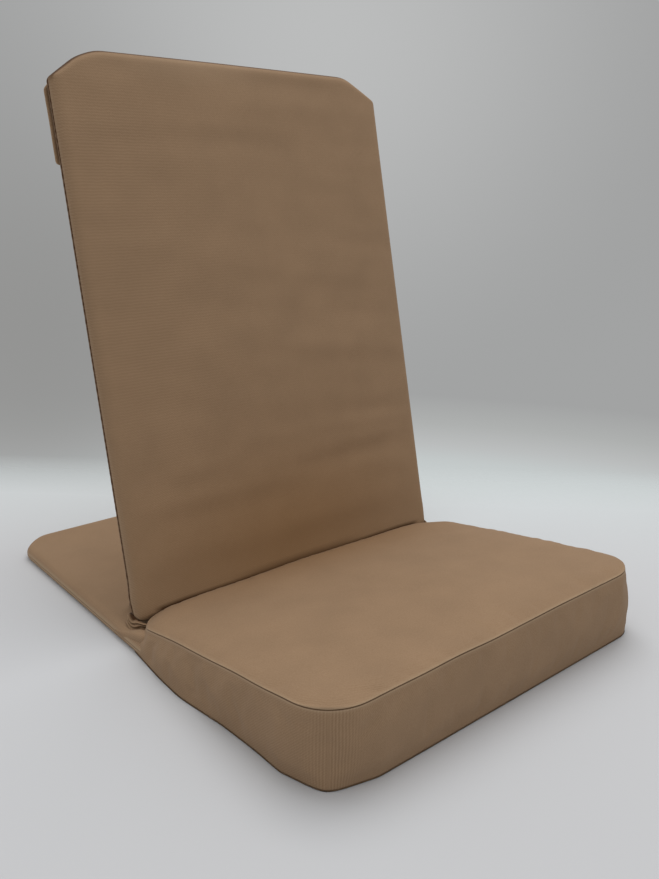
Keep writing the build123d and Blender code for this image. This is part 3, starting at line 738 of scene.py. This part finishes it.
# The back's cover: front and rear panels sewn round the sides. Each panel's depth is a straight part and a
# quarter circle near the edge, and the seam between them is a groove that opens and closes with the stitches.
def buildBack():
    size = backSize
    patches = []
    marks = {"seam": [], "ribs": [], "worn": [], "deep": [], "warm": []}
    for side in ("front", "rear"):
        front = side == "front"
        x, s, inset, ring = panelPlan(size, side + "Insets")
        faces = gridFaces(*x.shape)
        x = x * (1 + size["lowWider"] / size["half"] * (1 - ramp(s, *size["lowWiderAt"])))
        mess = 1.3 * unevenness(7, flatPoints(x, s), 20, 60)
        pucker = 0.5 + 0.5 * np.sin(2 * math.pi * (s + 0.6 * x) / size["puckers"] + mess)
        edge = byRing(ring, size[side + "Edge"]) * (0.35 + 1.1 * pucker)
        rivetBump = size["rivetBump"] * np.exp(-(s / 13) ** 2) * np.exp(-inset / 4)
        drawn = size["puckerDepth"] * (pucker - 0.5) * np.exp(-inset / 5)
        x = x + np.sign(x) * (rivetBump + drawn) * (np.abs(x) > 200)
        if front:
            face = size["front"] - size["crown"] * (x / size["half"]) ** 2
            depth = face - size["frontRound"] + size["frontRound"] * rounded(inset / size["frontRound"])
            depth = np.where(ring < 3, edge, depth)
            fade = ramp(inset, 3, 22)
            depth += fade * sum(leaningBand(x, s, *band) for band in size["bands"])
            depth += fade * uneven(size["waves"], flatPoints(x * size["waveStretch"], s))
        else:
            depth = size["rearRound"] - size["rear"] - size["rearRound"] * rounded(inset / size["rearRound"])
            depth = np.where(ring < 3, edge, depth)
            faces = faces[:, ::-1]
        hang = size["droop"] * ramp(depth, *size["droopDepth"]) * ramp(np.abs(x), *size["droopAcross"]) ** 1.5
        hang *= ramp(s, *size["droopUp"])
        patches.append((onBack(x, s - hang, depth), faces, np.stack([x, s], -1)))
        marks["seam"].append(ring == 0)
        marks["ribs"].append(np.clip(size["ribsLeast"] + hills(x, s, size["ribs"]), 0, 1))
        # wear and painted highlight on the front's edge, painted light at the top and at the foot
        lipWearAndLight = size["lipWearAndLight"] * np.isin(ring, (3, 4)) * (s < 600)
        footPaintedLight = hills(x, s, size["footPaintedLight"]) * (inset > 3) * front
        marks["worn"].append(lipWearAndLight + hills(x, s, size["topWearAndLight"]) + footPaintedLight)
        # painted warm shade and bounce light at the foot
        marks["warm"].append(hills(x, s, size["footPaintedWarmShade"]) * (inset > 2) * front)
        # painted shade: the seam's groove, the gap along the top edge, the front above its foot and the
        # crease under the cushion
        seamLine = byRing(ring, size[side + "Deep"]) * (0.7 + 0.3 * pucker)
        topLine = byRing(ring, size["topLine"]) * ramp(s, *size["topLineAt"])
        crease = size["crease"] - size["creaseSag"] * (x / size["creaseHalf"]) ** 2
        crease -= size["creaseDrop"] * ramp(np.abs(x), *size["creaseCorner"]) ** 2
        shade = size["shade"] * ramp(s, *size["shadeAt"])
        shade += size["creaseDeep"] * ramp(s, crease, -1.5) * ramp(np.abs(x), *size["creaseEnds"])
        marks["deep"].append(np.maximum(seamLine, (topLine + shade) * front))
    return meshOf("backPad", patches, marks)


# slots through the rear cover for the brackets, cut out of the pad once it is smooth
slotSize = {"inner": 228.4, "outer": 233.6, "low": -36.0, "high": 44.0, "behind": -14.0, "end": 11.3}


def buildSlots():
    size = slotSize
    cube = np.array([[a, b, c] for a in (0, 1) for b in (0, 1) for c in (0, 1)])
    faces = np.array([[0, 1, 3, 2], [4, 6, 7, 5], [0, 4, 5, 1], [2, 3, 7, 6], [0, 2, 6, 4], [1, 5, 7, 3]])
    low = np.array([size["inner"], size["low"], size["behind"]])
    box = low + cube * (np.array([size["outer"], size["high"], size["end"]]) - low)
    return meshOf("slotCutter", [(onBack(side * box[:, 0], box[:, 1], box[:, 2]), faces, box[:, :2])
                                 for side in (-1, 1)])


backPad = addPiece(buildBack(), "back", backTwill,
                   ("back_foam", "back_front_cover", "back_rear_cover"))
subdivide(backPad)
cutter = addObject("slotCutter", buildSlots())
opened = backPad.modifiers.new("slots", "BOOLEAN")
opened.object = cutter
opened.operation = "DIFFERENCE"
opened.solver = "MANIFOLD"
bake(backPad)
bpy.data.objects.remove(cutter)
print("back pad made")

flapSize = {
    "half": 250.9, "low": 517.0, "high": 630.2, "middle": -11.9, "cloth": 0.8, "hem": 1.45, "hemWide": 10.0,
    "corners": [(4, 4, 2.0), (4, 4, 2.0), (32, 27, 1.1), (32, 27, 1.1)],
    "counts": (80, 44), "insets": [0.0, 0.25, 0.9, 2.0, 5.0, 8.4, 9.6, 10.4, 11.6, 14.0, 20.0],
    # the rim is lightened for wear and as painted highlight; gapDeep is painted shade in the gap behind the
    # flap
    "waves": [(9, 0.35, 40, 120)], "wearAndLightAt": [0, 1.0, 3.0], "worn": [1.0, 0.6, 0.0], "gapDeep": 0.6,
    # the strip of hooks: half its width with a margin, its low and high edges, and the cloth's face under it
    "stripHalf": 230, "stripLow": 518.2, "stripHigh": 550, "stripFace": 0.9,
    "stitchInset": 9.6, "stitch": 3.0, "stitchGap": 1.1, "stitchRadius": 0.35, "stitchOut": 1.2,
}


# Half the flap's thickness: a rounded rim, a hem as wide as hemWide with a stitched line, and single cloth
# inside. Near its top edge, where it turns, the hem thins to the cloth.
def flapThickness(s, inset):
    size = flapSize
    hem = size["cloth"] + (size["hem"] - size["cloth"]) * ramp(s, size["high"] - 6, -8)
    inner = ramp(inset, size["hemWide"], 2.2)
    thick = hem + (size["cloth"] - hem) * inner * inner * (3 - 2 * inner)
    thick -= 0.4 * np.exp(-((inset - size["stitchInset"]) / 0.8) ** 2) * (hem > 1.2)
    return thick * rounded(inset / 1.3)


# how far the flap's middle plane waves: not at its upper edge, and fully from 40 mm below it
def flapWave(x, s):
    return uneven(flapSize["waves"], flatPoints(x, s)) * ramp(s, flapSize["high"], -40)


def buildFlap():
    size = flapSize
    x, s, inset, _ = panelPlan(size)
    faces = gridFaces(*x.shape)
    plan = np.stack([x, s], -1)
    middle = size["middle"] + flapWave(x, s)
    thick = flapThickness(s, inset)
    # the inner face stays level where the strip of hooks is sewn on
    strip = ramp(s, size["stripLow"], 1.2) * ramp(s, size["stripHigh"], -2)
    strip *= ramp(np.abs(x), size["stripHalf"], -2)
    inner = thick - np.clip(thick - size["stripFace"], 0, None) * strip
    # painted shade in the gap between the flap's hem and the back cover, at its sides
    gap = ramp(inset, 2.0, 1.0) * ramp(inset, 7, -2) * (np.abs(x) > 225) * (s > size["low"] + 3)
    return meshOf("topFlap", [(onBack(x, s, middle + inner), faces, plan),
                              (onBack(x, s, middle - thick), faces[:, ::-1], plan)],
                  {"ribs": [0.15, 0.15], "worn": [0, np.interp(inset, size["wearAndLightAt"], size["worn"])],
                   "deep": [size["gapDeep"] * gap, 0]})


# Stitches: closed ovals laid along a line of points, each leaning a little, all worked out as one array.
def stitchPatch(line, out, look):
    pitch = look["stitch"] + look["stitchGap"]
    reach = reachAlong(line)
    count = int(reach[-1] / pitch)
    middle = (np.arange(count) + 0.5) * pitch
    place, after, before = (np.stack([np.interp(middle + step, reach, line[:, k]) for k in range(3)], -1)
                            for step in (0, 1, -1))
    ahead = unit(after - before)
    side = unit(np.cross(ahead, out))
    u = np.linspace(0, math.pi, 5)[:, None]
    v = np.linspace(0, 2 * math.pi, 6, endpoint=False)
    along = (-np.cos(u) * look["stitch"] / 2 + 0 * v)[..., None]
    thick = np.sin(u) ** 0.5 * look["stitchRadius"]
    across, outward = ((thick * wave)[..., None] for wave in (np.cos(v), np.sin(v)))
    place, ahead, side = (values[:, None, None] for values in (place, ahead, side))
    points = place + ahead * along + side * across + out * outward
    faces = gridFaces(5, 6, closed=True)[None] + 30 * np.arange(count)[:, None, None]
    return points.reshape(-1, 3), faces.reshape(-1, 4), points.reshape(-1, 3)[:, :2]


def buildFlapStitches():
    size = flapSize
    inset = size["stitchInset"]
    side, low, high = size["half"] - inset, size["low"] + inset, size["high"] - 30
    corner = np.array([[-side, high], [-side, low], [side, low], [side, high]])
    patches = []
    for k in range(3):
        x, s = np.linspace(corner[k], corner[k + 1], 60).T
        for face in (-1, 1):
            line = onBack(x, s, size["middle"] + flapWave(x, s) + face * size["stitchOut"])
            patches.append(stitchPatch(line, face * frontNormal, size))
    return meshOf("flapStitches", patches)


# The strip that hangs the flap: a flattened roll of cloth across the back, an oval profile carried along x.
hemSize = {
    "half": 200.0, "low": 630.5, "high": 636.8, "inner": -8.9, "outer": -12.9, "stitchAt": 634.4,
    "counts": (90, 16), "waves": [(10, 0.15, 25, 90)],
}


def buildHem():
    size = hemSize
    rows, sides = size["counts"]
    x = np.linspace(-size["half"], size["half"], rows)
    x = np.concatenate([x[:1], x, x[-1:]])[:, None]
    turn = np.linspace(0, 2 * math.pi, sides, endpoint=False)
    shrink = np.ones(x.shape)
    shrink[[0, -1]] = 0.0
    wave = uneven(size["waves"], flatPoints(x, 0 * x))
    high, deep = (size["high"] - size["low"]) / 2, (size["inner"] - size["outer"]) / 2
    s = (size["low"] + size["high"]) / 2 + high * fuller(np.cos(turn), 0.45) * shrink
    n = (size["inner"] + size["outer"]) / 2 + deep * fuller(np.sin(turn), 0.6) * shrink
    points = onBack(x, s, np.maximum(n + wave, size["outer"]))
    weave = np.stack(np.broadcast_arrays(x, s), -1)
    return meshOf("flapHem", [(points, gridFaces(len(x), sides, closed=True), weave)])


def buildHemStitches():
    size = hemSize
    x = np.linspace(-size["half"] + 4, size["half"] - 4, 80)
    line = onBack(x, size["stitchAt"], size["outer"] + 0.05)
    return meshOf("hemStitches", [stitchPatch(line, -frontNormal, flapSize)])


topFlap = addPiece(buildFlap(), "flap", backTwill, ("top_flap",))
subdivide(topFlap)
flapStitches = addPiece(buildFlapStitches(), "flap", thread)
flapHem = addPiece(buildHem(), "back", backTwill, ("flap_hem",))
subdivide(flapHem)
hemStitches = addPiece(buildHemStitches(), "back", thread)
print("flap made")

# The gathered cloth between the base and the back at each lower corner of the back. A path runs round the
# corner from the front to the rear; the cloth goes up it in pleats: out = depth * |sin(pleats * pi * t)|^0.8,
# t from 0 to 1.
cuffSize = {
    "path": [(-196, -24.5), (-225, -25.0), (-243, -23.5), (-252.5, -16), (-254.5, -4), (-252.5, 6),
             (-246, 9.5), (-238, 10)],
    "centre": (-225, -7), "soft": 5.0, "low": 16.4, "high": [23.0, 23.5, 24.5, 29.0, 33.0, 31.0, 27.0, 25.0],
    "depth": 3.6, "pleats": 3.0, "cloth": 0.9, "flare": 4.0, "slip": 0.16, "valleyShade": 0.95, "counts": (60, 40),
    "fullest": (62, 0, 34, 1),  # where the pleats stand out most, by the way along the path
}


def buildCuff(side):
    size = cuffSize
    along, up = size["counts"]
    path = np.array(size["path"], float)
    reach = reachAlong(path)
    walk = np.linspace(0, reach[-1], along)
    x, y, high = (easedLine(walk, reach, values, size["soft"]) for values in (*path.T, size["high"]))
    ahead = unit(np.stack([np.gradient(x), np.gradient(y)], -1))
    out = np.stack([-ahead[:, 1], ahead[:, 0]], -1)
    out *= np.sign((out * (np.stack([x, y], -1) - size["centre"])).sum(-1))[:, None]
    t = np.linspace(0, 1, up)[:, None]
    flat = flatPoints(*np.broadcast_arrays(walk[None], t * 30))
    slip = size["slip"] * unevenness(21 + side, flat, 18, 60)
    fold = np.abs(np.sin(size["pleats"] * math.pi * np.clip(t + slip * np.sin(math.pi * t), 0, 1))) ** 0.8
    strong = 0.45 + 0.55 * hill(walk, 0 * walk, *size["fullest"])[None]
    depth = size["depth"] * strong * (fold * (0.8 + 0.35 * unevenness(31 + side, flat, 22, 70)) - 0.25)
    depth = depth + size["flare"] * strong * (1 - t) ** 1.5
    z = size["low"] + (high - size["low"])[None] * t - 1.1 * fold * np.cos(math.pi * t)
    outer, inner = (np.stack([-side * (x + out[:, 0] * reached), y + out[:, 1] * reached, z], -1)
                    for reached in (depth, depth - size["cloth"]))
    points = np.concatenate([outer, inner[::-1], outer[:1]])
    weave = np.stack(np.broadcast_arrays(walk[None], np.linspace(0, 60, len(points))[:, None]), -1)
    patches = [(points, gridFaces(*points.shape[:2]), weave)]
    for k in (0, along - 1):
        strip = np.stack([outer[:, k], inner[:, k]], 1)
        patches.append((strip, gridFaces(up, 2, flip=k > 0), strip[..., 1:]))
    # painted shade in the valleys between the pleats
    valleyShade = size["valleyShade"] * (1 - fold) ** 1.2 * (t > 0.02)
    return meshOf("leftCuff" if side < 0 else "rightCuff", patches, {
        "ribs": [0.1, 0.1, 0.1], "deep": [np.concatenate([valleyShade, valleyShade[::-1], valleyShade[:1]]), 0, 0]})


for side in (-1, 1):
    cuff = addPiece(buildCuff(side), None, twill)
    subdivide(cuff)
    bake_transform(cuff)
print("cuffs made")

# lengths are in metres from the pivot, in the camera's heading
stageLook = {
    "floor": "#c7c8ca", "farFloor": "#c9cecf", "farFrom": 0.05, "farTo": 0.40, "reach": 4.0, "rows": 12,
    "fadeFrom": 0.30, "fadeTo": 0.50, "strength": (0.60, 0.73),
    # the backdrop's colours by the height of the line of sight, the sine of its elevation, from -1 to 1
    "sines": [-1.0, -0.48, -0.355, -0.324, -0.303, -0.281, -0.25, 1.0],
    "colours": ["#c5c6c8", "#c7c9ca", "#cad0d0", "#c4caca", "#babcbc", "#aeb0af", "#a2a3a3", "#9f9f9f"],
    "glowAt": (0.64, 0.76, 0.14), "glow": "#bbbcbc", "glowReach": 0.42,
    "dimAt": (0.36, 0.91, -0.18), "dim": "#949493", "dimReach": 0.38,
}
camera = {
    "place": (-0.6907, -0.8653, 0.56336), "yaw": 0.71454, "pitch": 0.30917, "roll": 0.02881, "lens": 35.463,
    "sensor": 36.0, "nearest": 0.01,
}
yaw, pitch, roll = (camera[key] for key in ("yaw", "pitch", "roll"))
heading = np.array([math.sin(yaw), math.cos(yaw), 0])


# A sheet of pale paper on the floor, from far in front of the object to just behind it, where it fades out.
def buildStage():
    look = stageLook
    across = np.array([heading[1], -heading[0], 0])
    out = np.linspace(-look["reach"], look["fadeTo"], look["rows"])
    sides = np.array([-look["reach"], look["reach"]])
    points = heading * out[:, None, None] + across * sides[None, :, None]
    mesh = bpy.data.meshes.new("studioPaper")
    mesh.from_pydata(points.reshape(-1, 3).tolist(), [], gridFaces(len(out), 2).tolist())
    paperSheet = addObject("studioPaper", mesh)
    material, tree, spot = newMaterial("studioPaper")
    along = node(tree, "VectorMath", {"operation": "DOT_PRODUCT", 1: tuple(heading)}, {0: spot})
    along = along.outputs["Value"]
    far = ranged(tree, along, look["farFrom"], look["farTo"])
    ground = colourMix(tree, look["floor"], look["farFloor"], far)
    paper = node(tree, "BsdfDiffuse", {}, {"Color": ground})
    clear = node(tree, "BsdfTransparent")
    fade = ranged(tree, along, look["fadeFrom"], look["fadeTo"])
    mixed = node(tree, "MixShader", {},
                 {0: fade, 1: paper.outputs["BSDF"], 2: clear.outputs["BSDF"]})
    node(tree, "OutputMaterial", {}, {"Surface": mixed.outputs["Shader"]})
    mesh.materials.append(material)


# The world: soft light, stronger from above, and a painted backdrop that only the camera and reflections see.
def buildWorld():
    look = stageLook
    world = bpy.data.worlds.new("studio")
    bpy.context.scene.world = world
    world.use_nodes = True
    tree = world.node_tree
    tree.nodes.clear()
    sight = node(tree, "TexCoord").outputs["Generated"]
    up = node(tree, "SeparateXYZ", {}, {"Vector": sight}).outputs["Z"]
    light = node(tree, "Background", {"Color": (1, 1, 1, 1)},
                 {"Strength": ranged(tree, up, 0.0, 1.0, *look["strength"])})
    ladder = node(tree, "ValToRGB", {}, {"Fac": ranged(tree, up, -1.0, 1.0)})
    steps = ladder.color_ramp.elements
    while len(steps) < len(look["sines"]):
        steps.new(0.5)
    for step, sine, code in zip(steps, look["sines"], look["colours"]):
        step.position = (sine + 1) / 2
        step.color = linear(code)
    colour = ladder.outputs["Color"]
    for key in ("glow", "dim"):
        away = node(tree, "VectorMath", {"operation": "DISTANCE", 1: look[key + "At"]}, {0: sight})
        near = ranged(tree, away.outputs["Value"], 0.0, look[key + "Reach"], 1.0, 0.0, "SMOOTHSTEP")
        colour = colourMix(tree, colour, look[key], near)
    backdrop = node(tree, "Background", {}, {"Color": colour})
    path = node(tree, "LightPath")
    seen = path.outputs["Is Camera Ray"]
    for ray in ("Is Glossy Ray", "Is Transmission Ray"):
        seen = node(tree, "Math", {"operation": "MAXIMUM"}, {0: seen, 1: path.outputs[ray]})
        seen = seen.outputs["Value"]
    both = node(tree, "MixShader", {}, {0: seen, 1: light.outputs["Background"],
                                                  2: backdrop.outputs["Background"]})
    node(tree, "OutputWorld", {}, {"Surface": both.outputs["Shader"]})


buildStage()
buildWorld()

lampSettings = {"place": (0.45, 0.28, 2.4), "aim": (0.0, 0.0, 0.1), "size": 1.8, "power": 30.0}
lamp = bpy.data.lights.new("softBox", "AREA")
lamp.shape = "SQUARE"
lamp.size = lampSettings["size"]
lamp.energy = lampSettings["power"]
lampObject = addObject("softBox", lamp)
lampObject.location = lampSettings["place"]
direction = Vector(lampSettings["aim"]) - Vector(lampSettings["place"])
lampObject.rotation_euler = direction.to_track_quat("-Z", "Y").to_euler()

# the camera stands and looks as the photograph's did; the photograph is 659 by 879
lens = bpy.data.cameras.new("view")
lens.lens = camera["lens"]
lens.sensor_width = camera["sensor"]
lens.sensor_fit = "AUTO"
lens.clip_start = camera["nearest"]
viewer = addObject("view", lens)
forward = Vector((math.sin(yaw) * math.cos(pitch), math.cos(yaw) * math.cos(pitch), -math.sin(pitch)))
level = Vector((math.cos(yaw), -math.sin(yaw), 0))
upright = level.cross(forward)
right = level * math.cos(roll) + upright * math.sin(roll)
upward = upright * math.cos(roll) - level * math.sin(roll)
turn = Matrix((right, upward, -forward)).transposed()
viewer.matrix_world = Matrix.Translation(camera["place"]) @ turn.to_4x4()
bpy.context.scene.camera = viewer
bpy.context.scene.view_settings.view_transform = "Standard"
print("studio made")
